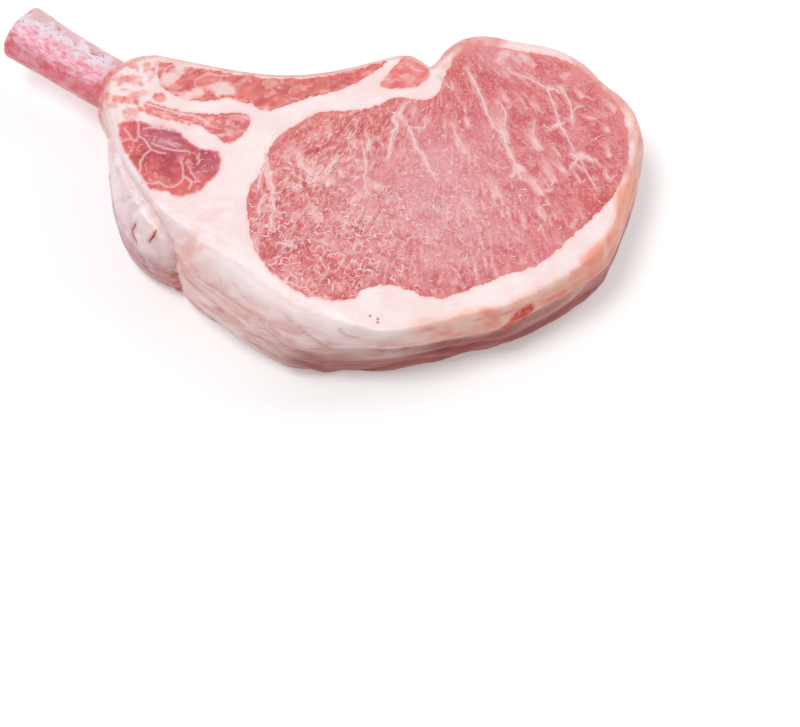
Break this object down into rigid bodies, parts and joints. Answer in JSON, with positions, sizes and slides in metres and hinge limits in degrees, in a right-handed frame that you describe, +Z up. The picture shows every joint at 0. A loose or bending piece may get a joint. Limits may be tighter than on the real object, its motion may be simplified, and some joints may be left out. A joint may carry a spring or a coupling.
{
  "type": "raw pork rib chop",
  "caption": "Thick raw pork rib chop lying on a cut face, with a large eye of loin meat, a band of back fat, rib and flank meat, and a long scraped rib bone.",
  "frame": {"origin": "middle of the bounding box, on the surface that the chop lies on", "axes": "+X along the chop from the rib bone to the eye's outer end, +Y towards the rib side, +Z up through the thickness of the slice"},
  "size_m": [0.1754, 0.1114, 0.027],
  "materials": {
    "eye_muscle": "moist raw pork loin, salmon pink, finely marbled with white fat",
    "back_fat": "firm raw back fat, pinkish white, smooth and slightly waxy",
    "rib_meat": "moist raw meat in a white fat network",
    "chine_meat": "moist raw meat, pale salmon",
    "seam_meat": "moist raw meat strip, salmon",
    "flank_meat": "wet dark red meat with a purple sheen and white septa",
    "flap_skin": "pale purplish pink membrane over soft fat",
    "scraped_bone": "scraped rib bone, mottled pink, white and purple"
  },
  "bodies": {
    "root": {"loin_eye": "eye_muscle", "fat_cap": "back_fat", "rib_meat": "rib_meat", "chine_meat": "chine_meat", "seam_muscle": "seam_meat", "flank_muscle": "flank_meat", "belly_flap": "flap_skin", "rib_bone": "scraped_bone"}
  },
  "joints": []
}
